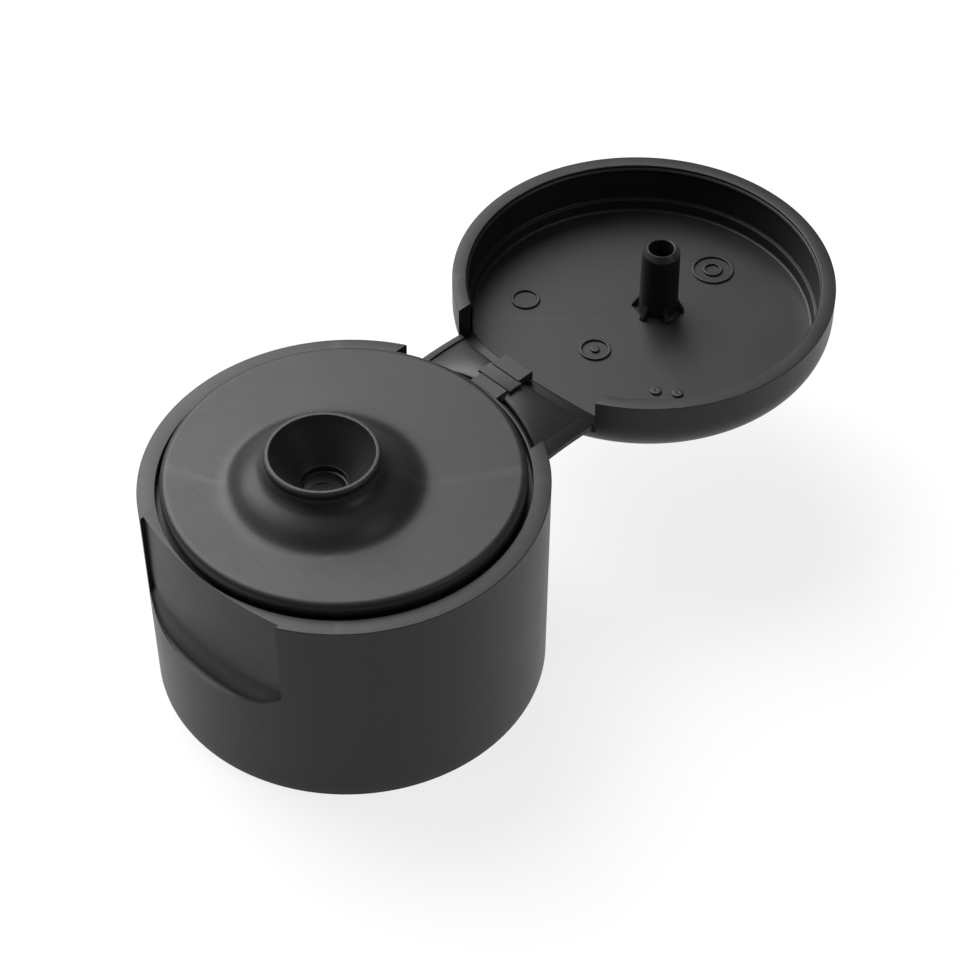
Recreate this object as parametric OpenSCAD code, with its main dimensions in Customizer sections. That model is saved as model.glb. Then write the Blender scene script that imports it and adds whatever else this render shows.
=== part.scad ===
// Flip-top dispensing closure, lid laid open. Millimetres, +Z up.
// Origin: on the neck axis, in the plane of the base's lower edge. The hinge is on +Y.

/* [Body] */

// radius of the outer shell at the top rim
body_r = 16.65; // [16.2:0.05:17.2]
// height of the rim above the lower edge
body_h = 19.8; // [18:0.1:24]
// thickness of the outer shell
shell_t = 0.75; // [0.6:0.05:0.8]
// outer radius of the threaded sleeve
sleeve_r = 15.44; // [15.3:0.02:15.5]
// radius of the neck bore
bore_r = 14.1; // [13.9:0.05:14.2]

/* [Deck and spout] */

// radius of the deck
deck_r = 14.42; // [14.3:0.02:14.5]
// height of the deck above the rim
deck_up = 1.1; // [0.9:0.05:1.3]
// distance of the spout from the neck axis, away from the hinge
spout_off = 2.16; // [1.6:0.02:2.6]
// radius of the orifice
orifice_r = 1.78; // [1.76:0.01:1.9]

/* [Lid] */

// distance of the hinge axis from the neck axis
hinge_y = 17.63; // [17.6:0.01:17.8]
// radius of the lid's inner wall
lid_in_r = 15.4; // [15.3:0.02:15.5]
// depth from the lid's rim to its floor
lid_deep = 4.98; // [4.9:0.02:5.3]
// radius of the plug pin
pin_r = 1.62; // [1.5:0.01:1.64]

/* [Hinge] */

// half width of the hinge notch
notch_x = 8.08; // [7.9:0.02:8.2]
// thickness of the wings
wing_t = 0.44; // [0.36:0.02:0.5]

/* [Hidden] */

z0 = body_h;
lid_y = 2*hinge_y;
lid_gap = 0.02;
pin_y = lid_y + spout_off;
slot_r = body_r - shell_t;
rim_t = 1.2;
groove = 1.0;
lip_r = 15.17;
lead_r = bore_r + 0.25;
lead_h = 2.8;
cut_low = 0.45;
wing_x1 = 2.35;
wing_x2 = 7.6;
c1 = hinge_y - sqrt(body_r*body_r - wing_x1*wing_x1);
c2 = hinge_y - sqrt(body_r*body_r - wing_x2*wing_x2);
wing_k = (c2 - c1)/(wing_x2 - wing_x1);
lid_fr = 3.75;
lid_h = 6.2;
plastic = [0.09, 0.09, 0.09];
plastic2 = [0.12, 0.12, 0.12];

$fn = 96;

module tube(ro, ri, h) {
  difference() {
    cylinder(r = ro, h = h);
    translate([0, 0, -1]) cylinder(r = ri, h = h + 2);
  }
}

// a flat outline in Y and Z, made thick along X about the middle plane
module along_x(pts, w) {
  translate([-w/2, 0, 0])
    rotate([90, 0, 90])
      linear_extrude(height = w) polygon(pts);
}

// what the hinge takes out of a wall: everything above a low arch whose crest is in
// the middle, over the notch's whole width; its radius is the body's, less a gap
module arch_cut(ya, yb) {
  difference() {
    translate([-notch_x, ya, z0 - 6]) cube([2*notch_x, yb - ya, 9]);
    translate([0, ya - 1, z0 - hinge_y]) rotate([-90, 0, 0])
      cylinder(r = body_r - cut_low, h = yb - ya + 2);
  }
}

module base_notch() {
  arch_cut(10, hinge_y);
}

module lid_notch() {
  arch_cut(hinge_y, hinge_y + 6);
}

// the whole width of the notch on the lid's hinge side
module notch_slab() {
  translate([-notch_x, hinge_y - 1, z0 - 6]) cube([2*notch_x, 8, 8]);
}

// the thumb recess: a broad shallow pocket with a curved back and a scooped foot
module recess_tool() {
  back_r = 31.7;
  back_y = -15.23 + back_r;
  zc = z0 - 8.2;
  intersection() {
    translate([0, back_y, 0])
      rotate([0, 0, 250])
        rotate_extrude(angle = 40)
          polygon([[back_r, z0 + 1], [back_r, zc], [back_r + 0.25, zc - 0.95],
            [back_r + 0.75, zc - 1.7], [back_r + 1.45, zc - 2.3], [back_r + 3, zc - 3.1],
            [back_r + 3, z0 + 1]]);
    translate([-8.05, -24, 0]) cube([16.1, 14, z0 + 2]);
  }
}

module outer_shell() {
  color(plastic)
    difference() {
      cylinder(r1 = body_r - 0.15, r2 = body_r - 0.15*rim_t/z0, h = z0 - rim_t);
      translate([0, 0, -1]) cylinder(r = slot_r, h = z0 + 2);
      base_notch();
      recess_tool();
    }
}

module rim_ring() {
  color(plastic)
    difference() {
      translate([0, 0, z0 - rim_t])
        cylinder(r1 = body_r - 0.15*rim_t/z0, r2 = body_r, h = rim_t);
      translate([0, 0, z0 - rim_t - 1]) cylinder(r = sleeve_r, h = rim_t + 2);
      base_notch();
      recess_tool();
    }
}

// solid backing that closes the space between shell and sleeve behind the recess
module thumb_recess() {
  color(plastic)
    difference() {
      intersection() {
        translate([0, 0, z0 - 12.2]) tube(slot_r, sleeve_r, 12.2 - rim_t);
        translate([-8.9, -20, 0]) cube([17.8, 15, z0]);
      }
      recess_tool();
    }
}

module shell_ribs() {
  color(plastic2)
    intersection() {
      translate([0, 0, 1]) tube(slot_r, sleeve_r, z0 - rim_t - 1);
      union() {
        for (a = [-20, 5, 30, 54, 126, 150, 175, 200])
          rotate([0, 0, a]) translate([14, -0.35, 0]) cube([3, 0.7, z0]);
      }
    }
}

module sleeve() {
  color(plastic2)
    difference() {
      rotate_extrude()
        polygon([[lead_r, 0], [sleeve_r, 0], [sleeve_r, z0], [lip_r, z0],
          [lip_r, z0 - groove], [bore_r, z0 - groove], [bore_r, lead_h + 0.1],
          [lead_r, lead_h]]);
      recess_tool();
    }
}

// one thread ridge, swept as a helix inside the sleeve
module neck_thread() {
  steps = 156;
  turn = 468;
  pitch = 4.23;
  za = 4.1;
  ro = bore_r - 0.01;
  pts = [for (i = [0:steps])
    let (a = i*turn/steps,
      fade = min(1, min(i, steps - i)/12),
      dep = 0.06 + 0.89*fade,
      z = za + pitch*a/360)
    each [[ro*cos(a), ro*sin(a), z - 1.05], [(ro - dep)*cos(a), (ro - dep)*sin(a), z - 0.35],
      [(ro - dep)*cos(a), (ro - dep)*sin(a), z + 0.35], [ro*cos(a), ro*sin(a), z + 0.75]]];
  sides = [for (i = [0:steps - 1]) for (j = [0:3])
    let (k = (j + 1) % 4)
    each [[4*i + j, 4*i + k, 4*i + 4 + k], [4*i + j, 4*i + 4 + k, 4*i + 4 + j]]];
  ends = [[0, 3, 2], [0, 2, 1], [4*steps, 4*steps + 1, 4*steps + 2],
    [4*steps, 4*steps + 2, 4*steps + 3]];
  color(plastic2) polyhedron(points = pts, faces = concat(sides, ends), convexity = 6);
}

module deck_skirt() {
  color(plastic2)
    rotate_extrude()
      polygon([[13.2, z0 - 1.6], [bore_r, z0 - 1.6], [bore_r, z0 - groove],
        [deck_r, z0 - groove], [deck_r, z0 - 0.1], [13.2, z0 - 0.1]]);
}

module deck() {
  color(plastic)
    difference() {
      translate([0, 0, z0 - 0.1]) cylinder(r = deck_r, h = deck_up + 0.1);
      translate([0, -spout_off, z0 - 1]) cylinder(r = 7.7, h = 4);
    }
}

module deck_bead() {
  color(plastic)
    rotate_extrude()
      polygon([[deck_r, z0 + 0.2], [deck_r + 0.26, z0 + 0.42], [deck_r + 0.38, z0 + 0.58],
        [deck_r + 0.38, z0 + 0.72], [deck_r + 0.26, z0 + 0.88], [deck_r, z0 + 1.02]]);
}

module bore_seal() {
  color(plastic2)
    rotate_extrude()
      polygon([[10.1, z0 - 3.1], [10.7, z0 - 3.1], [11.0, z0 - 2.6], [11.0, z0 - 1.9],
        [10.9, z0 - 0.1], [10.1, z0 - 0.1]]);
}

// the raised mound and its flared lip; the orifice tube sits in its middle
module spout() {
  h = deck_up;
  color(plastic)
    translate([0, -spout_off, z0])
      rotate_extrude()
        polygon([[2.75, -0.1], [2.75, 0.3], [3.75, 1.9], [4.3, 1.9], [5.6, 0.9],
          [6.7, -0.1], [7.7, -0.1], [7.7, h], [7.25, h + 0.06], [6.8, h + 0.24],
          [6.35, h + 0.56], [5.9, h + 0.98], [5.45, h + 1.38], [5.0, h + 1.72],
          [4.66, h + 2.06], [4.48, h + 2.36], [4.5, h + 2.62], [4.64, h + 2.82],
          [4.73, h + 2.98], [4.72, h + 3.18], [4.62, h + 3.38], [4.46, h + 3.47],
          [4.3, h + 3.44], [4.2, h + 3.32], [2.75, h + 1.16]]);
}

module orifice() {
  h = deck_up;
  color(plastic)
    translate([0, -spout_off, z0])
      rotate_extrude()
        polygon([[orifice_r, -0.7], [2.5, -0.7], [2.75, -0.45], [2.75, h + 1.16],
          [1.98, h], [1.94, h - 0.08], [1.94, h - 0.55], [orifice_r, h - 0.6]]);
}

module base_pad() {
  color(plastic)
    intersection() {
      translate([-1.56, 14.5, z0 - 0.85]) cube([3.12, hinge_y - 0.63 - 14.5, 0.52]);
      difference() {
        translate([0, 0, z0 - 2]) cylinder(r = 30, h = 3);
        translate([0, 0, z0 - 3]) cylinder(r = sleeve_r, h = 5);
      }
    }
}

module strap_film() {
  color(plastic)
    translate([-1.9, hinge_y - 0.63, z0 - 0.62]) cube([3.8, 1.26, 0.27]);
}

module wing(s) {
  hull() {
    for (e = [-1, 1]) {
      translate([s*wing_x1, hinge_y + e*c1, z0 - c1]) sphere(r = wing_t/2, $fn = 20);
      translate([s*wing_x2, hinge_y + e*c2, z0 - c2]) sphere(r = wing_t/2, $fn = 20);
    }
  }
}

module right_wing() {
  color(plastic) wing(1);
}

module left_wing() {
  color(plastic) wing(-1);
}

// a raised bar on the outer end of each wing, lying on the wing's tilted face
module wing_bar(s) {
  n = sqrt(1 + wing_k*wing_k);
  x = 7.25;
  c = c1 + wing_k*(x - wing_x1);
  translate([s*x, hinge_y, z0 - c])
    rotate([0, s*atan(wing_k), 0])
      translate([-0.3, -c + 0.12, wing_t/2]) cube([0.6, 2*c - 0.24, 0.2]);
}

module right_wing_bar() {
  color(plastic) wing_bar(1);
}

module left_wing_bar() {
  color(plastic) wing_bar(-1);
}

function lid_arc(z) = body_r - lid_fr + sqrt(max(0, lid_fr*lid_fr
  - pow(max(0, -z - (lid_h - lid_fr)), 2)));

module lid_wall() {
  zb = -3.81;
  color(plastic)
    difference() {
      translate([0, lid_y, z0])
        rotate_extrude()
          polygon([[lid_in_r, -lid_gap], [body_r, -lid_gap], [body_r, -2.45],
            [lid_arc(-2.9), -2.9], [lid_arc(-3.4), -3.4], [lid_arc(zb), zb], [lid_in_r, zb]]);
      notch_slab();
    }
}

module lid_ledge() {
  za = -3.81;
  zb = -lid_deep;
  color(plastic)
    difference() {
      translate([0, lid_y, z0])
        rotate_extrude()
          polygon([[15.07, za], [lid_arc(za), za], [lid_arc(-4.2), -4.2],
            [lid_arc(-4.6), -4.6], [lid_arc(zb), zb], [15.07, zb]]);
      lid_notch();
    }
}

module lid_top() {
  za = -lid_deep;
  color(plastic)
    translate([0, lid_y, z0])
      rotate_extrude()
        polygon([[0, za], [lid_arc(za), za], [lid_arc(-5.3), -5.3], [lid_arc(-5.6), -5.6],
          [lid_arc(-5.85), -5.85], [lid_arc(-6.05), -6.05], [lid_arc(-6.15), -6.15],
          [lid_arc(-6.2), -6.2], [0, -6.2]]);
}

module lid_bead() {
  color(plastic)
    difference() {
      translate([0, lid_y, z0])
        rotate_extrude()
          polygon([[lid_in_r, -0.3], [lid_in_r - 0.18, -0.44], [lid_in_r - 0.18, -0.56],
            [lid_in_r, -0.7]]);
      lid_notch();
    }
}

// low arched wall that closes the lid on its hinge side
module hinge_panel() {
  color(plastic)
    difference() {
      intersection() {
        translate([0, lid_y, z0])
          rotate_extrude()
            polygon([[lid_in_r, -0.5], [body_r, -0.5], [body_r, -2.45], [lid_arc(-2.9), -2.9],
              [lid_arc(-3.4), -3.4], [lid_arc(-3.81), -3.81], [lid_in_r, -3.81]]);
        translate([-notch_x, hinge_y, z0 - lid_deep]) cube([2*notch_x, 6.5, lid_deep]);
      }
      lid_notch();
    }
}

module lid_pad() {
  y = hinge_y;
  foot = z0 - (hinge_y - body_r) - cut_low;
  color(plastic)
    union() {
      along_x([[y + 0.63, z0 - 0.33], [y + 2.35, z0 - 0.33], [y + 2.35, z0 - 1.2],
        [y + 1.1, z0 - 0.95], [y + 0.63, z0 - 0.85]], 3.12);
      along_x([[y + 1.12, z0 - 0.9], [y + 2.3, z0 - 1.1], [y + 2.3, foot],
        [y + 1.12, foot]], 2.2);
    }
}

module plug_pin() {
  tip = 1.95;
  color(plastic)
    translate([0, pin_y, z0])
      rotate_extrude()
        polygon([[1.12, -lid_deep], [pin_r + 0.06, -lid_deep], [pin_r, tip - 0.5],
          [pin_r - 0.33, tip], [1.1, tip]]);
}

module pin_gussets() {
  color(plastic)
    difference() {
      for (a = [33.4, 93.4, 153.4, 213.4, 273.4, 333.4])
        translate([0, pin_y, z0 - lid_deep])
          rotate([90, 0, a])
            translate([0, 0, -0.23])
              linear_extrude(height = 0.46)
                polygon([[1.4, 0], [2.35, 0], [2.3, 0.16], [1.66, 1.25], [1.4, 1.25]]);
      translate([0, pin_y, z0 - 6]) cylinder(r = pin_r + 0.06, h = 4);
    }
}

// low raised moulding marks on the lid's floor
module mould_marks() {
  color(plastic2)
    translate([0, lid_y, z0 - lid_deep]) {
      translate([-9.0, -5.4, 0]) tube(1.3, 1.0, 0.2);
      translate([-0.1, -5.8, 0]) tube(1.4, 1.1, 0.2);
      translate([-0.1, -5.8, 0]) cylinder(r = 0.4, h = 0.2);
      translate([7.2, -5.9, 0]) cylinder(r = 0.5, h = 0.2);
      translate([8.7, -4.8, 0]) cylinder(r = 0.5, h = 0.2);
      translate([0, 9.4, 0]) tube(1.9, 1.6, 0.2);
      translate([0, 9.4, 0]) tube(0.9, 0.6, 0.2);
    }
}

outer_shell();
rim_ring();
thumb_recess();
shell_ribs();
sleeve();
neck_thread();
deck_skirt();
deck();
deck_bead();
bore_seal();
spout();
orifice();
base_pad();
strap_film();
right_wing();
left_wing();
right_wing_bar();
left_wing_bar();
lid_wall();
lid_ledge();
lid_top();
lid_bead();
hinge_panel();
lid_pad();
plug_pin();
pin_gussets();
mould_marks();
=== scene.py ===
import math
import bmesh
import bpy
import numpy as np
from mathutils import Matrix, Vector


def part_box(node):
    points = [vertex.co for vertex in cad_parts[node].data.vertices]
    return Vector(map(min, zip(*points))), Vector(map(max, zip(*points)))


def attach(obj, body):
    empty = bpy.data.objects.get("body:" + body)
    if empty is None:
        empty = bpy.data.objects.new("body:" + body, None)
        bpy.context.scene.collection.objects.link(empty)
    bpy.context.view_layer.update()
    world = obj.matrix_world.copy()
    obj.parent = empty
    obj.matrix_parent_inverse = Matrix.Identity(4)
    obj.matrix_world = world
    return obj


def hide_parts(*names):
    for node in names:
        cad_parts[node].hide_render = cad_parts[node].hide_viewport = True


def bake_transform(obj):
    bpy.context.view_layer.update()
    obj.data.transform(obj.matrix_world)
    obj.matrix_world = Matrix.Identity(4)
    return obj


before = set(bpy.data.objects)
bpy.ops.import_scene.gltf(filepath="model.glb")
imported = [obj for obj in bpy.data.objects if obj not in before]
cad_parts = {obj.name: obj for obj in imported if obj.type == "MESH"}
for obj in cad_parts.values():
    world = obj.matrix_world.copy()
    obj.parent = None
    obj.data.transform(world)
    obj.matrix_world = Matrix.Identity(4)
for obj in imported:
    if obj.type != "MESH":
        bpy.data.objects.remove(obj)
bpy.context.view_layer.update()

# Lengths are millimetres and S turns them into metres. Heights are from the rim plane.
S = 0.001


def box(node):
    """a CAD node's two corners"""
    lo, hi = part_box(node)
    return [c/S for c in lo], [c/S for c in hi]


def middle_y(node):
    """y of a CAD node's middle"""
    lo, hi = box(node)
    return (lo[1] + hi[1])/2


# read from the boxes of the CAD parts
Z0 = box("sleeve")[1][2]          # the rim plane's height over the table
R = box("rim_ring")[1][0]         # outer radius of base and lid
SLEEVE = box("sleeve")[1][0]      # outer radius of the sleeve
NX = box("hinge_panel")[1][0]     # half width of the hinge notch
HY = middle_y("strap_film")       # y of the hinge axis
LY = middle_y("lid_top")          # y of the open lid's centre
SY = middle_y("spout")
PY = middle_y("plug_pin")
PIN = box("plug_pin")
DEEP = Z0 - PIN[0][2]             # depth of the lid's floor

# shared radii
SLOT = R - 0.75                   # inner face of the outer wall
LIP = 15.17                       # inner edge of the rim and of the sleeve
BORE = 14.12
LEAD = 14.35                      # the bore's plain lead-in

A_NOTCH = math.asin(NX/R)         # the notch's edges, as an angle from +Y
BLEND_FROM = math.radians(48)     # from here in, columns turn from radial to straight ones
BLEND_OVER = math.radians(15)


def drop(x):
    """how far the web line lies below the rim, and in from the hinge axis"""
    return HY - math.sqrt(R*R - x*x)


def clamp(t):
    return max(0.0, min(1.0, t))


# ---------------------------------------------------------------- outlines

def arc(a, b, c, rad, n):
    """corner b between a and c, rounded with n steps; gives n + 1 points"""
    va = (a[0] - b[0], a[1] - b[1])
    vc = (c[0] - b[0], c[1] - b[1])
    la, lc = math.hypot(*va), math.hypot(*vc)
    va, vc = (va[0]/la, va[1]/la), (vc[0]/lc, vc[1]/lc)
    half = math.acos(max(-1, min(1, va[0]*vc[0] + va[1]*vc[1])))/2
    t = min(rad/math.tan(half), 0.49*min(la, lc))
    rad = t*math.tan(half)
    m = (va[0] + vc[0], va[1] + vc[1])
    lm = math.hypot(*m)
    o = (b[0] + m[0]/lm*rad/math.sin(half), b[1] + m[1]/lm*rad/math.sin(half))
    p = (b[0] + va[0]*t, b[1] + va[1]*t)
    q = (b[0] + vc[0]*t, b[1] + vc[1]*t)
    a0 = math.atan2(p[1] - o[1], p[0] - o[0])
    a1 = math.atan2(q[1] - o[1], q[0] - o[0])
    d = (a1 - a0 + math.pi) % (2*math.pi) - math.pi
    return [(o[0] + rad*math.cos(a0 + d*i/n), o[1] + rad*math.sin(a0 + d*i/n)) for i in range(n + 1)]


def rounded(pts):
    """outline from plain points (u, v) and rounded corners (u, v, radius, steps)"""
    out = []
    for i, p in enumerate(pts):
        if len(p) == 2:
            out.append(p)
        else:
            out += arc(pts[i - 1][:2], p[:2], pts[(i + 1) % len(pts)][:2], p[2], p[3])
    return out


def spline(pts, n):
    """smooth curve through the points, n steps to each span"""
    p = [np.array(q, float) for q in pts]
    p = [2*p[0] - p[1]] + p + [2*p[-1] - p[-2]]
    out = []
    for i in range(1, len(p) - 2):
        for k in range(n):
            t = k/n
            out.append(0.5*((2*p[i]) + (-p[i - 1] + p[i + 1])*t
                            + (2*p[i - 1] - 5*p[i] + 4*p[i + 1] - p[i + 2])*t*t
                            + (-p[i - 1] + 3*p[i] - 3*p[i + 1] + p[i + 2])*t**3))
    out.append(p[-2])
    return [tuple(q) for q in out]


def span(a, b, n):
    return list(np.linspace(a, b, n))


# ---------------------------------------------------------------- meshes

def skin(cols, around=True, looped=True):
    """vertices and faces through columns of points, which all have the same number of points

    around joins the last column to the first, and without it both are capped.
    looped joins each column's last point to its first.
    """
    nu, nv = len(cols), len(cols[0])
    verts = [p for c in cols for p in c]
    faces = []
    for i in range(nu if around else nu - 1):
        k = (i + 1) % nu
        for j in range(nv if looped else nv - 1):
            m = (j + 1) % nv
            faces.append((i*nv + j, k*nv + j, k*nv + m, i*nv + m))
    if not around:
        faces.append(tuple(range(nv)))
        faces.append(tuple((nu - 1)*nv + j for j in range(nv)))
    return verts, faces


def turned(prof, cx, cy, n):
    """a closed outline of (radius, height) turned about the upright line through (cx, cy)"""
    cols = [[(cx + r*math.sin(a), cy + r*math.cos(a), z) for r, z in prof]
            for a in (2*math.pi*i/n for i in range(n))]
    return skin(cols)


def join(parts):
    """several lists of vertices and faces as one"""
    verts, faces = [], []
    for v, f in parts:
        k = len(verts)
        verts += v
        faces += [tuple(i + k for i in q) for q in f]
    return verts, faces


def piece(name, verts, faces, material, body, nodes, sharp=30, blended=False):
    """an object from vertices in millimetres, with z from the rim plane"""
    bm = bmesh.new()
    vs = [bm.verts.new((x*S, y*S, (z + Z0)*S)) for x, y, z in verts]
    for f in faces:
        bm.faces.new([vs[i] for i in f])
    bmesh.ops.remove_doubles(bm, verts=bm.verts, dist=2e-7)
    bmesh.ops.dissolve_degenerate(bm, edges=bm.edges, dist=1e-7)
    bmesh.ops.recalc_face_normals(bm, faces=bm.faces)
    return finish_piece(name, bm, material, body, nodes, sharp, blended)


def finish_piece(name, bm, material, body, nodes, sharp, blended=False):
    """edges that turn by sharp degrees or more stay crisp; a blended piece rides no single body"""
    me = bpy.data.meshes.new(name)
    for e in bm.edges:
        if len(e.link_faces) == 2:
            e.smooth = e.calc_face_angle(0) < math.radians(sharp)
    for f in bm.faces:
        f.smooth = True
    bm.to_mesh(me)
    bm.free()
    o = bpy.data.objects.new(name, me)
    bpy.context.scene.collection.objects.link(o)
    me.materials.append(material)
    wn = o.modifiers.new("normals", "WEIGHTED_NORMAL")
    wn.keep_sharp = True
    wn.weight = 80
    if not blended:
        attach(o, body)
    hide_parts(*nodes)
    return o


def add_prism(bm, near, far):
    """a solid between two matching outlines"""
    a = [bm.verts.new(p) for p in near]
    b = [bm.verts.new(p) for p in far]
    bm.faces.new(a)
    bm.faces.new(b[::-1])
    for i in range(len(a)):
        k = (i + 1) % len(a)
        bm.faces.new((a[i], b[i], b[k], a[k]))


def soften(bm, bevel, segments):
    """bevel every edge"""
    bmesh.ops.recalc_face_normals(bm, faces=bm.faces)
    bmesh.ops.bevel(bm, geom=list(bm.edges), offset=bevel*S, segments=segments, profile=0.5, affect="EDGES")


def pad(name, outlines, body, node, bevel):
    """blocks with softened edges, from outlines of (y, height) and each one's full width along X"""
    bm = bmesh.new()
    for pts, width in outlines:
        ends = [[(side*width/2*S, y*S, (z + Z0)*S) for y, z in pts] for side in (-1, 1)]
        add_prism(bm, *ends)
    soften(bm, bevel, 3)
    finish_piece(name, bm, FLEX, body, [node], 32)


# ---------------------------------------------------------------- material

SPECULAR = 0.215
GRAIN_DEPTH = 0.01*S              # height of the surface texture


def moulded(name, slot, base, rough, grain, wear):
    """black polypropylene: fine satin texture, faint flow marks, rubbed edges

    base is the grey of the flats, wear is what the rubbed edges add, and grain is the bump's strength.
    """
    m = bpy.data.materials.new(name)
    m["slot"] = slot
    m.use_nodes = True
    nt = m.node_tree
    nt.nodes.clear()
    new, link = nt.nodes.new, nt.links.new
    out = new("ShaderNodeOutputMaterial")
    b = new("ShaderNodeBsdfPrincipled")
    link(b.outputs[0], out.inputs[0])
    co = new("ShaderNodeTexCoord")

    def noise(scale, detail, stretch=None):
        """scale is in features to a metre"""
        n = new("ShaderNodeTexNoise")
        n.inputs["Scale"].default_value = scale
        n.inputs["Detail"].default_value = detail
        src = co.outputs["Object"]
        if stretch:
            mp = new("ShaderNodeMapping")
            mp.inputs["Scale"].default_value = stretch
            mp.inputs["Rotation"].default_value = (0.3, 0.5, 0.9)
            link(src, mp.inputs["Vector"])
            src = mp.outputs[0]
        link(src, n.inputs["Vector"])
        return n.outputs["Fac"]

    def ramp(src, lo, hi, a, c):
        """maps lo to hi onto a to c"""
        n = new("ShaderNodeMapRange")
        link(src, n.inputs["Value"])
        for i, v in enumerate((lo, hi, a, c)):
            n.inputs[i + 1].default_value = v
        return n.outputs[0]

    def mix(kind, x, y):
        n = new("ShaderNodeMath")
        n.operation = kind
        for i, v in enumerate((x, y)):
            if isinstance(v, (int, float)):
                n.inputs[i].default_value = v
            else:
                link(v, n.inputs[i])
        return n.outputs[0]

    cloud = noise(210, 3)
    fine = noise(5200, 1)
    flow = noise(60, 2, (1, 9, 1))
    rub = noise(420, 2, (1, 4, 1))
    geo = new("ShaderNodeNewGeometry")
    edge = ramp(geo.outputs["Pointiness"], 0.53, 0.62, 0.0, 1.0)
    edge = mix("MULTIPLY", edge, ramp(cloud, 0.35, 0.65, 0.35, 1.0))
    tone = mix("MULTIPLY", ramp(cloud, 0.3, 0.7, 0.93, 1.07), ramp(flow, 0.3, 0.7, 0.96, 1.04))
    tone = mix("MULTIPLY", tone, ramp(fine, 0.3, 0.7, 0.9, 1.1))
    tone = mix("ADD", mix("MULTIPLY", tone, base), mix("MULTIPLY", edge, wear))
    col = new("ShaderNodeCombineColor")
    link(tone, col.inputs[0])
    link(tone, col.inputs[1])
    link(mix("MULTIPLY", tone, 1.01), col.inputs[2])
    link(col.outputs[0], b.inputs["Base Color"])
    r = mix("ADD", ramp(cloud, 0.3, 0.7, rough - 0.02, rough + 0.02), ramp(rub, 0.55, 0.75, 0.0, 0.03))
    r = mix("SUBTRACT", r, mix("MULTIPLY", edge, 0.05))
    link(r, b.inputs["Roughness"])
    b.inputs["IOR"].default_value = 1.5
    b.inputs["Specular IOR Level"].default_value = SPECULAR
    bump = new("ShaderNodeBump")
    bump.inputs["Strength"].default_value = grain
    bump.inputs["Distance"].default_value = GRAIN_DEPTH
    link(fine, bump.inputs["Height"])
    link(bump.outputs[0], b.inputs["Normal"])
    return m


SATIN = moulded("satin_black", "satin_black_pp", 0.012, 0.42, 0.35, 0.006)
INNER = moulded("inner_black", "inner_black_pp", 0.010, 0.46, 0.25, 0.004)
FLEX = moulded("hinge_black", "hinge_black_pp", 0.012, 0.40, 0.25, 0.006)

# ---------------------------------------------------------------- base: thumb recess

REC_X = 8.05                      # half width
REC_R, REC_Y = 31.7, 16.47        # radius and centre of the upright back wall
SCOOP_TOP = -7.7                  # below this the wall curves outward
SCOOP_END = -11.4                 # lowest height of the scoop's curve
A_REC = math.pi - math.asin(REC_X/R)
RISER, RISER_UP = 0.17, 0.18      # depth and height of the step at the scoop's foot
RISER_FADE = 2.2

# how far the scoop has come out from the back wall, from the top down
scoop_z = [1.0, SCOOP_TOP, -8.1, -8.5, -8.9, -9.4, -9.8, -10.1, -10.28, -10.42, -10.7, SCOOP_END]
scoop_out = [0.0, 0.0, 0.08, 0.26, 0.42, 0.58, 0.74, 0.92, 1.12, 1.40, 2.2, 4.2]
fine_z = np.arange(SCOOP_END, 1.0, 0.02)
fine_out = np.interp(fine_z, scoop_z[::-1], scoop_out[::-1])
soft_out = np.convolve(np.pad(fine_out, 6, mode="edge"), np.ones(13)/13, "valid")


def rec_y(x, z):
    """y of the recess's surface"""
    rho = REC_R + float(np.interp(z, fine_z, soft_out))
    return REC_Y - math.sqrt(rho*rho - x*x)


def rec_foot(x):
    """height at which the scoop runs out on the outer wall"""
    x = min(abs(x), REC_X)
    y = -math.sqrt((R - 0.07)**2 - x*x)
    need = math.hypot(x, REC_Y - y) - REC_R
    return float(np.interp(need, soft_out[::-1], fine_z[::-1]))


def riser(up):
    """short steep step where the scoop runs out, fading upwards"""
    return RISER*clamp(up/RISER_UP)*max(0.0, 1 - max(0.0, up - RISER_UP)/RISER_FADE)


# ---------------------------------------------------------------- base: outer wall and sleeve

def base_angles(step):
    """(angle from +Y, kind) all round; each edge gives two columns at one angle"""
    stops = [-math.pi, -A_REC, -A_NOTCH, A_NOTCH, A_REC, math.pi]
    kinds = ["recess", "wall", "notch", "wall", "recess"]
    out = []
    for a, b, kind in zip(stops, stops[1:], kinds):
        n = max(2, round((b - a)/math.radians(step)))
        out += [(a + (b - a)*k/n, kind) for k in range(n + 1)]
    return out[:-1]


def at(a, r):
    """x and y at angle a from +Y; near the notch and the recess the columns keep a constant x"""
    u = min(abs(a), math.pi - abs(a))
    w = clamp((BLEND_FROM - u)/BLEND_OVER)
    w = w*w*(3 - 2*w)
    side = math.asin(min(0.999, R*math.sin(u)/r))
    ang = w*side + (1 - w)*u
    if abs(a) > math.pi/2:
        ang = math.pi - ang
    return math.copysign(1, a)*r*math.sin(ang), r*math.cos(ang)


def r_out(z):
    """the outer wall's radius, which drafts in toward the foot"""
    return R - 0.15*(-z)/Z0


SLEEVE_TOP = -1.0                 # floor of the groove between deck and rim
SLEEVE_BEHIND = 0.3               # how far the sleeve keeps behind the recess's surface
EDGE_POINTS = 15                  # in the top edge of every column of the outer wall
NOTCH_TOP = 0.22                  # the wall's top in the notch, below the web line
NOTCH_STEP, STEP_IN = 0.42, 0.24  # the step outside it
PLAIN_ROW = -9.2                  # where the wall's rows change pace, away from the recess
REC_WALL = 0.5                    # thickness of the wall behind the recess
REC_WALL_FLAT = -11.2             # its inner face goes straight down from here
REC_WALL_LOW = -12.4              # and joins the round one here


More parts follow.
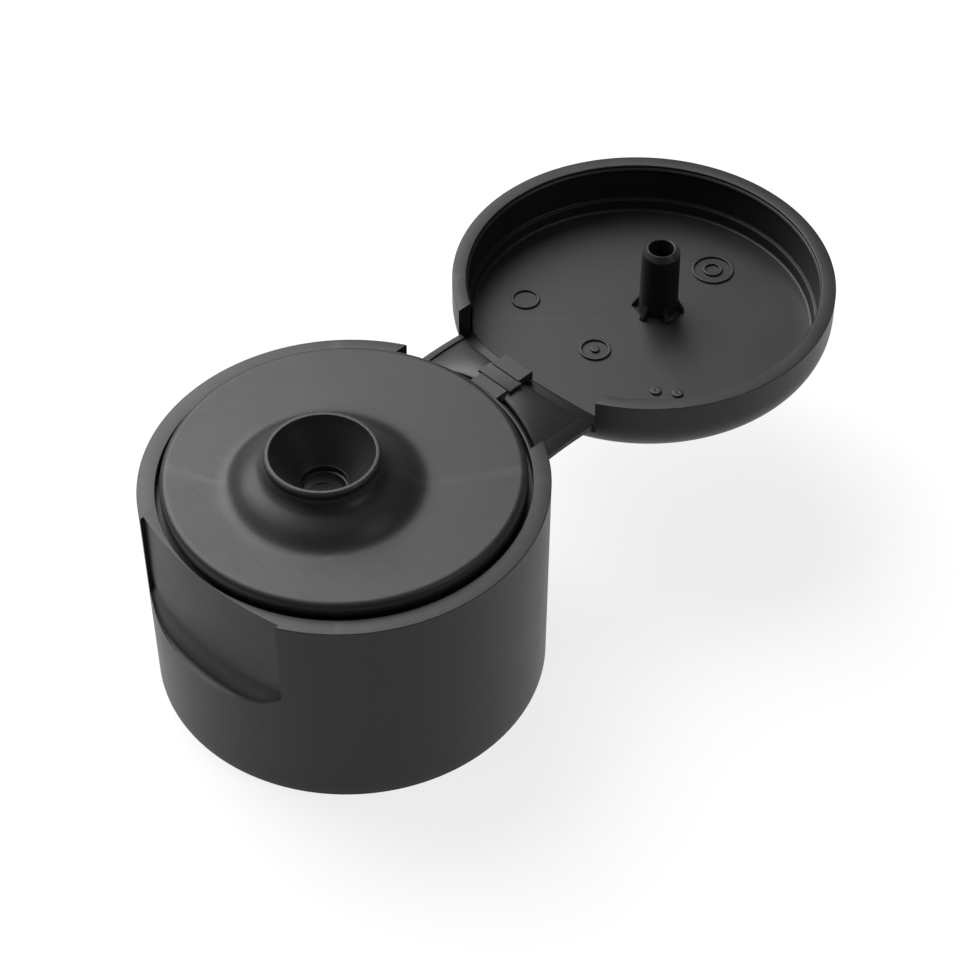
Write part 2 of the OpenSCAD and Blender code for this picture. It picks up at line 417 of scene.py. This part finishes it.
def shell_column(a, kind):
    """section through the outer wall"""
    x = R*math.sin(a)
    foot = rec_foot(x) if abs(a) > math.pi/2 else PLAIN_ROW
    bottom = rounded([(SLOT, -Z0 + 1.0), (SLOT, -Z0, 0.12, 3), (r_out(-Z0), -Z0, 0.05, 5),
                      (r_out(-Z0 + 1), -Z0 + 1.0)])[1:]
    if kind == "notch":
        top = -drop(x) - NOTCH_TOP
        wall_top = -drop(x) - NOTCH_STEP
        inner_top = top - 1.0
        step = R - STEP_IN
        edge = rounded([(R, wall_top), (step, wall_top + 0.05), (step, top, 0.05, 4), (SLOT, top, 0.34, 8),
                        (SLOT, top - 0.7)])[:EDGE_POINTS]
        tail = [(SLOT, top - 0.75), (SLOT, top - 0.8), (SLOT, top - 0.9)]
    else:
        wall_top = -0.09
        inner_top = -1.25
        edge = rounded([(R, -0.4), (R, 0, 0.07, 4), (LIP, 0, 0.06, 8), (LIP, -1.04)])[1:]
        tail = [(SLEEVE - 0.02, -1.04), (SLEEVE - 0.02, -1.2), (SLOT, -1.2)]
    rows = span(-Z0 + 1.6, foot, 9) + span(foot, SCOOP_TOP, 34)[1:] + span(SCOOP_TOP, wall_top, 9)[1:]
    outer = bottom + [(r_out(z), z) for z in rows] + edge
    inner = tail + [(SLOT, min(z, inner_top)) for z in rows[::-1]]
    out = []
    for k, (r, z) in enumerate(outer + inner):
        px, py = at(a, r)
        if kind == "recess":
            if k < len(outer):
                if r > LIP + 0.03:
                    py = max(py, rec_y(px, z) + riser(z - foot))
            elif z > REC_WALL_LOW:
                py = max(py, rec_y(px, max(z, REC_WALL_FLAT)) + REC_WALL)
        out.append((px, py, z))
    return out


cols = [shell_column(a, k) for a, k in base_angles(1.1)]
piece("shell_skin", *skin(cols), SATIN, "base", ["outer_shell", "rim_ring", "thumb_recess"], 26)


def sleeve_column(a, kind):
    """section through the sleeve, whose lip only the notch shows"""
    if kind == "notch":
        top = rounded([(SLEEVE, -3), (SLEEVE, 0, 0.06, 4), (LIP, 0, 0.06, 4), (LIP, SLEEVE_TOP)])[1:-1]
    else:
        top = [(SLEEVE, SLEEVE_TOP)]*5 + [(LIP, SLEEVE_TOP)]*5
    low = -Z0 + 0.02
    prof = [(SLEEVE, z) for z in span(low, -9.0, 5) + span(-9.0, -1.02, 12)[1:]] + top
    prof += [(LIP, SLEEVE_TOP), (BORE, SLEEVE_TOP)]
    prof += [(BORE, z) for z in span(-1.02, -Z0 + 2.9, 12)]
    prof += rounded([(LEAD, -Z0 + 2.7), (LEAD, low, 0.1, 4), (SLEEVE, low)])[:-1]
    out = []
    for r, z in prof:
        px, py = at(a, r)
        if kind == "recess" and r > LIP and z > -11:
            py = max(py, rec_y(px, z) + SLEEVE_BEHIND)
        out.append((px, py, z))
    return out


cols = [sleeve_column(a, k) for a, k in base_angles(1.5)]
piece("sleeve_skin", *skin(cols), INNER, "base", ["sleeve"])

# ---------------------------------------------------------------- base: thread

TURN, THREAD_STEPS = 468, 312     # degrees from end to end
FADE_STEPS = 26                   # over which each end fades
PITCH, THREAD_START = 4.23, 4.1   # the second is the lower end's height over the foot
THREAD_ROOT, THREAD_HIGH = 14.16, 0.89    # radius at the wall, and height of the full thread
cols = []
for i in range(THREAD_STEPS + 1):
    a = math.radians(TURN*i/THREAD_STEPS)
    fade = min(1.0, min(i, THREAD_STEPS - i)/FADE_STEPS)
    fade = fade*fade*(3 - 2*fade)
    crest = THREAD_ROOT - (0.05 + THREAD_HIGH*fade)
    z = -Z0 + THREAD_START + PITCH*TURN/360*i/THREAD_STEPS
    prof = rounded([(THREAD_ROOT, -1.05), (crest, -0.35, 0.16, 4), (crest, 0.35, 0.16, 4),
                    (THREAD_ROOT, 0.75)])
    cols.append([(r*math.cos(a), r*math.sin(a), z + w) for r, w in prof])
piece("thread_skin", *skin(cols, around=False), INNER, "base", ["neck_thread"], 35)

# ---------------------------------------------------------------- base: deck, spout, orifice

UP = 1.1                          # the deck's height over the rim
DECK = 14.42                      # the deck's radius, under its snap bead
SKIRT = 13.2                      # inner radius of the deck's skirt
FOOT = 8.8                        # radius at which the mound starts
SEAT = 7.6                        # radius of the spout's hollow at the deck's underside
UNDER = -0.1                      # height of that underside
CUP_TOP, CUP_LOW = 4.13, 1.99     # radii of the pouring cup
DECK_COLUMNS = 300

bead = [(DECK, -0.3), (14.66, -0.2), (14.78, 0.0), (14.8, 0.25), (14.78, 0.5), (14.72, 0.72), (14.62, 0.9),
        (14.46, 1.03), (14.26, UP)]
rim_side = rounded([(SKIRT, UNDER), (SKIRT, -1.6, 0.2, 3), (14.06, -1.6, 0.2, 3), (14.06, SLEEVE_TOP),
                    (DECK, SLEEVE_TOP)])
rim_side += spline(bead, 3) + [(14.1, UP), (13.9, UP)]

# (radius, height over the deck)
mound = [(FOOT, 0), (8.45, 0.015), (8.1, 0.06), (7.75, 0.17), (7.4, 0.37), (7.0, 0.67), (6.6, 0.96),
         (6.15, 1.22), (5.7, 1.44), (5.25, 1.66), (4.88, 1.93), (4.64, 2.2), (4.5, 2.46), (4.5, 2.7),
         (4.58, 2.92)]
lip = rounded([(4.58, 2.92), (4.7, 3.1, 0.1, 4), (4.67, 3.32, 0.08, 4), (4.5, 3.44, 0.06, 3),
               (4.26, 3.45, 0.05, 3), (CUP_TOP, 3.2)])[1:]
cup = [(CUP_TOP + (CUP_LOW - CUP_TOP)*t, 3.2 + (0.02 - 3.2)*t) for t in (0.15, 0.3, 0.45, 0.6, 0.75, 0.88)]
# down through the orifice and back along the hollow underside
throat = rounded([(2.4, UP + 0.6), (1.98, UP, 0.05, 3), (1.93, UP - 0.02, 0.03, 2), (1.93, UP - 0.55),
                  (1.76, UP - 0.6, 0.05, 3), (1.76, -0.7, 0.08, 3), (2.5, -0.7, 0.1, 3), (2.75, -0.4),
                  (2.9, 0.5), (3.75, 1.9, 0.3, 3), (4.3, 1.9, 0.3, 3), (5.6, 0.9, 0.5, 3),
                  (6.7, UNDER, 0.4, 3), (SEAT, UNDER)])[1:]
spout_side = [(r, z + UP) for r, z in spline(mound, 4) + lip + cup] + throat


def between(c0, r0, c1, r1, z, n):
    """n flat rings between two circles whose centres differ"""
    return [(c0 + (c1 - c0)*t, r0 + (r1 - r0)*t, z) for t in ((i + 1)/(n + 1) for i in range(n))]


rings = [(0.0, r, z) for r, z in rim_side] + between(0.0, 13.9, SY, FOOT, UP, 5)
rings += [(SY, r, z) for r, z in spout_side] + between(SY, SEAT, 0.0, SKIRT, UNDER, 4)
cols = [[(r*math.sin(a), cy + r*math.cos(a), z) for cy, r, z in rings]
        for a in (2*math.pi*i/DECK_COLUMNS for i in range(DECK_COLUMNS))]
piece("deck_skin", *skin(cols), SATIN, "base", ["deck", "deck_bead", "deck_skirt", "spout", "orifice"])

seal = rounded([(10.1, UNDER), (10.1, -3.1, 0.15, 3), (10.7, -3.1, 0.25, 3), (11.0, -2.6, 0.3, 3),
                (11.0, -1.9, 0.3, 3), (10.9, UNDER)])
piece("seal_skin", *turned(seal, 0, 0, 160), INNER, "base", ["bore_seal"])

# the CAD's ribs show as they are
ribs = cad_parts["shell_ribs"]
ribs.data.materials.clear()
ribs.data.materials.append(INNER)

# ---------------------------------------------------------------- hinge: pads and strap

PAD_WIDTH = 3.12
PAD_FAR = HY - 0.62               # the base pad's end, and that of the black block under it, which stands in for the slot's shade
SHADE_BLOCK_FAR = HY - 0.68
pad("base_pad_and_shade_block_skin",
    [([(15.3, -0.85), (PAD_FAR, -0.86), (PAD_FAR, -0.46), (15.3, -0.46)], PAD_WIDTH),
     # the second block stands in for shade: a black block filling the slot under the pad, where the floor
     # would show through
     ([(16.2, -0.7), (SHADE_BLOCK_FAR, -0.7), (SHADE_BLOCK_FAR, -2.1), (16.2, -2.1)], 3.0)],
    "base", "base_pad", 0.04)
pad("lid_pad_skin",
    [([(HY + 0.66, -0.22), (HY + 2.35, -0.22), (HY + 2.35, -1.16), (HY + 1.9, -1.04), (HY + 1.3, -0.94),
       (HY + 0.66, -0.82)], PAD_WIDTH),
     ([(HY + 1.2, -0.86), (HY + 2.28, -1.0), (HY + 2.28, -1.4), (HY + 1.2, -1.4)], 2.2)],
    "lid", "lid_pad", 0.05)

# the bending strap: a thin sheet, slightly waisted, with rounded long edges
STRAP_STEPS = 28
STRAP_FROM, STRAP_LONG = HY - 0.66, 1.36
STRAP_TOP, STRAP_LOW = -0.35, -0.6
STRAP_HALF, WAIST = 1.9, 0.05     # half width, and how much narrower it is in the middle
cols = []
for i in range(STRAP_STEPS + 1):
    t = i/STRAP_STEPS
    waist = math.sin(math.pi*t)
    half = STRAP_HALF - WAIST*waist
    low = STRAP_LOW + 0.02*waist
    loop = rounded([(-half, low, 0.08, 3), (half, low, 0.08, 3), (half, STRAP_TOP, 0.07, 3),
                    (-half, STRAP_TOP, 0.07, 3)])
    cols.append([(x, STRAP_FROM + STRAP_LONG*t, z) for x, z in loop])
strap = piece("strap_skin", *skin(cols, around=False), FLEX, "base", ["strap_film"], 40, blended=True)

# ---------------------------------------------------------------- hinge: webs

WEB_IN, WEB_OUT = 1.66, 7.92      # x of a web's two ends
BOW = 0.15                        # how far a web rises in the middle
WEB_HALF, TIP_HALF = 0.21, 0.12   # half thickness, and the same at the outer end
WEB_STEPS = 14
WEB_PAST = 0.1                    # how far a web reaches past the web line, before its round edge
WEB_EDGE = 0.14                   # how far the round edge stands out
BAR_IN, BAR_UP = 6.95, 0.4        # x of the bar's inner side, and its top over the web's middle


def bow(y, c):
    """rise of a web at y from the hinge axis, where its edges are c away"""
    return BOW*max(0.0, 1 - (y/(c + 0.2))**2)


def web(name, side, body, node):
    """thin arched web from the base's outer wall to the lid's"""
    turn = np.linspace(math.pi/2.4, -math.pi/2.4, 6)
    cols = []
    for x in [WEB_IN] + span(1.8, 7.8, 44) + [7.87, WEB_OUT]:
        c = drop(x)
        t = WEB_HALF if x < 7.9 else TIP_HALF
        reach = c + WEB_PAST
        ys = [-reach + 2*reach*k/WEB_STEPS for k in range(1, WEB_STEPS)]
        loop = [(y, -c + t + bow(y, c)) for y in ys]
        loop += [(reach + WEB_EDGE*math.cos(q), -c + t*math.sin(q)) for q in turn]
        loop += [(y, -c - t + bow(y, c)) for y in ys[::-1]]
        loop += [(-reach - WEB_EDGE*math.cos(q), -c - t*math.sin(q)) for q in turn]
        cols.append([(side*x, HY + y, z) for y, z in loop])
    piece(name, *skin(cols, around=False), FLEX, body, [node], 34)


def bar(name, side, body, node):
    """raised bar along the web's outer end"""
    section = rounded([(BAR_IN, 0.05), (BAR_IN, BAR_UP, 0.05, 3), (7.9, BAR_UP, 0.09, 4),
                       (WEB_OUT, 0.05, 0.03, 2)])
    cols = []
    for q in np.linspace(-1, 1, 25):
        loop = []
        for x, up in section:
            c = drop(x)
            y = q*(c + 0.12)
            loop.append((side*x, HY + y, -c + up + bow(y, c)))
        cols.append(loop)
    piece(name, *skin(cols, around=False), FLEX, body, [node], 34)


web("right_web_skin", 1, "right_hinge_wing", "right_wing")
web("left_web_skin", -1, "left_hinge_wing", "left_wing")
bar("right_bar_skin", 1, "right_hinge_wing", "right_wing_bar")
bar("left_bar_skin", -1, "left_hinge_wing", "left_wing_bar")

# ---------------------------------------------------------------- lid

LID_IN, LID_HIGH = 15.4, 6.2      # inner radius, and height
LID_ROUND = 3.75                  # radius of the round edge outside
LEDGE, LEDGE_Z = 15.07, -3.81     # the ledge's inner radius and its top
RIM_GAP = 0.05                    # keeps the shut lid's rim off the base's
FLAT = 12.5                       # out to here both faces are flat
BEAD_IN = 0.17                    # how far the snap bead stands in from the wall


def lid_column(a, hinge):
    """section from the middle of the outer face to the middle of the floor, at angle a from -Y"""
    x0 = R*math.sin(a)
    wall_top = -drop(x0) - 0.27 if hinge else -0.13
    wall_low = min(-2.45, wall_top - 0.1) if hinge else -2.45
    outer = [(r, -LID_HIGH) for r in (0.0, 4.0, 8.5, 11.6, FLAT)]
    outer += [(R - LID_ROUND + LID_ROUND*math.sin(t), -LID_HIGH + LID_ROUND - LID_ROUND*math.cos(t))
              for t in np.linspace(0, math.pi/2, 17)]
    outer += [(R, z) for z in span(wall_low, wall_top, 6)[1:]]
    if hinge:
        outer = [(r, min(z, wall_top)) if r > 15 else (r, z) for r, z in outer]
    inner = rounded([(R, -0.4), (R, -RIM_GAP, 0.07, 4), (LID_IN, -RIM_GAP, 0.1, 5), (LID_IN, -0.3)])[1:-1]
    inner += [(LID_IN, -0.3), (LID_IN - 0.1, -0.36), (LID_IN - BEAD_IN, -0.46), (LID_IN - BEAD_IN, -0.56),
              (LID_IN - 0.1, -0.66), (LID_IN, -0.72)]
    inner += [(LID_IN, z) for z in (-1.2, -2.0, -2.8, -3.4)]
    inner += rounded([(LID_IN, -3.4), (LID_IN, LEDGE_Z, 0.12, 3), (LEDGE, LEDGE_Z, 0.1, 4),
                      (LEDGE, -DEEP, 0.28, 7), (FLAT, -DEEP)])[1:-1]
    inner += [(r, -DEEP) for r in (13.4, 12.0, 9.0, 5.0, 2.0)]
    if hinge:
        inner = [(r, min(z, wall_top)) for r, z in inner]

    def put(r):
        w = clamp((BLEND_FROM - abs(a))/BLEND_OVER)*clamp((r - 11.6)/2)
        side = math.asin(min(0.999, abs(x0)/max(r, 0.01)))
        ang = w*side + (1 - w)*abs(a)
        return math.copysign(1, a)*r*math.sin(ang), LY - r*math.cos(ang)

    return [(*put(r), z) for r, z in outer + inner] + [(0.0, LY, -DEEP)]


def lid_angles(step):
    """(angle from -Y, in the hinge notch or not) all round"""
    out = []
    for a, b, hinge in ((-A_NOTCH, A_NOTCH, True), (A_NOTCH, 2*math.pi - A_NOTCH, False)):
        n = round((b - a)/math.radians(step))
        out += [((a + (b - a)*k/n + math.pi) % (2*math.pi) - math.pi, hinge) for k in range(n + 1)]
    return out


cols = [lid_column(a, hinge) for a, hinge in lid_angles(1.1)]
piece("lid_skin", *skin(cols, looped=False), SATIN, "lid",
      ["lid_wall", "lid_ledge", "lid_top", "lid_bead", "hinge_panel"], 28)

# ---------------------------------------------------------------- lid: plug pin and fins

PIN_TIP = PIN[1][2] - Z0
PIN_R = 1.68                      # the pin's radius
pin_prof = rounded([(1.12, -DEEP - 0.05), (PIN_R + 0.3, -DEEP - 0.05), (PIN_R + 0.06, -DEEP + 0.22, 0.2, 4),
                    (PIN_R - 0.02, PIN_TIP - 0.5, 0.06, 3), (PIN[1][0] - 0.4, PIN_TIP - 0.06, 0.06, 3),
                    (1.22, PIN_TIP, 0.05, 3), (1.1, PIN_TIP - 0.08, 0.04, 2)])
piece("pin_skin", *turned(pin_prof, 0, PY, 96), SATIN, "lid", ["plug_pin"], 32)

FINS, FIRST_FIN = 6, 33.4         # how many, and the first one's angle
FIN_HALF = 0.23                   # half thickness
# a fin's outline: (distance from the pin's axis, height over the floor)
fin = [(1.3, -0.03), (2.35, -0.03), (2.31, 0.2), (2.12, 0.5), (1.9, 0.85), (1.72, 1.25), (1.3, 1.25)]
bm = bmesh.new()
for k in range(FINS):
    place = Matrix.Translation((0, PY*S, (Z0 - DEEP)*S))
    place = place @ Matrix.Rotation(math.radians(FIRST_FIN + 360/FINS*k), 4, "Z")
    add_prism(bm, *[[place @ Vector((u*S, side*FIN_HALF*S, w*S)) for u, w in fin] for side in (-1, 1)])
soften(bm, 0.05, 2)
finish_piece("gusset_skin", bm, SATIN, "lid", ["pin_gussets"], 34)

# ---------------------------------------------------------------- lid: plain moulding marks, rings and dots

MARK_LOW, MARK_TOP = -DEEP - 0.03, -DEEP + 0.18


def mark(x, y, outer, inner):
    """a ring or dot at (x, y) from the lid's centre"""
    prof = rounded([(inner, MARK_LOW), (inner, MARK_TOP, 0.05, 3), (outer, MARK_TOP, 0.05, 3),
                    (outer, MARK_LOW)])
    return turned(prof, x, LY + y, 72)


marks = [mark(-9.0, -5.4, 1.3, 1.04), mark(-0.1, -5.8, 1.4, 1.14), mark(-0.1, -5.8, 0.4, 0.02),
         mark(7.2, -5.9, 0.5, 0.02), mark(8.7, -4.8, 0.5, 0.02), mark(0, 9.4, 1.9, 1.64),
         mark(0, 9.4, 0.9, 0.64)]
piece("marks_skin", *join(marks), SATIN, "lid", ["mould_marks"], 34)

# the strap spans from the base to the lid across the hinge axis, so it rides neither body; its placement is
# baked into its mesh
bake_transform(strap)

# ---------------------------------------------------------------- stage

bm = bmesh.new()
bmesh.ops.create_grid(bm, x_segments=8, y_segments=8, size=2.2)
me = bpy.data.meshes.new("floor")
bm.to_mesh(me)
bm.free()
floor = bpy.data.objects.new("floor", me)
bpy.context.scene.collection.objects.link(floor)
floor.location.z = -0.00002       # just under the part's foot
paper = bpy.data.materials.new("paper")
paper.use_nodes = True
paper_in = paper.node_tree.nodes["Principled BSDF"].inputs
paper_in["Base Color"].default_value = (0.15, 0.15, 0.15, 1)
paper_in["Roughness"].default_value = 0.9
paper_in["Specular IOR Level"].default_value = 0.1
paper_in["Emission Color"].default_value = (1, 1, 1, 1)
paper_in["Emission Strength"].default_value = 0.8
me.materials.append(paper)

# ---------------------------------------------------------------- light and camera, in metres

world = bpy.data.worlds.new("studio")
bpy.context.scene.world = world
world.use_nodes = True
world.node_tree.nodes["Background"].inputs[0].default_value = (1, 1, 1, 1)
world.node_tree.nodes["Background"].inputs[1].default_value = 0.12

TARGET = Vector((0, 0.018, 0.018))
LAMP_FAR = 0.9


def direction(az, el):
    """unit vector toward azimuth az and elevation el, in degrees; azimuth 0 is -Y and 90 is +X"""
    a, e = math.radians(az), math.radians(el)
    return Vector((math.sin(a)*math.cos(e), -math.cos(a)*math.cos(e), math.sin(e)))


def aim(o, along):
    """adds the lamp or camera to the scene, looking along a direction"""
    o.rotation_mode = "QUATERNION"
    o.rotation_quaternion = along.to_track_quat("-Z", "Y")
    bpy.context.scene.collection.objects.link(o)


def lamp(name, az, el, size, power):
    """square area lamp that faces the target"""
    d = bpy.data.lights.new(name, "AREA")
    d.energy = power
    d.size = size
    o = bpy.data.objects.new(name, d)
    o.location = TARGET + direction(az, el)*LAMP_FAR
    aim(o, TARGET - o.location)


lamp("back_left", 262, 48, 0.8, 20.5)
lamp("front_left", 335, 45, 0.3, 0.6)
lamp("front_right", 112, 42, 0.3, 1.2)
lamp("top", 200, 82, 0.6, 0.6)

cam = bpy.data.cameras.new("camera")
cam.sensor_width = 36
cam.lens = 99.71
cam.clip_start, cam.clip_end = 0.01, 20
camera = bpy.data.objects.new("camera", cam)
camera.location = (0.11457, -0.09769, 0.17154)
aim(camera, -direction(45.40, 45.32))
bpy.context.scene.camera = camera
bpy.context.scene.view_settings.view_transform = "Standard"
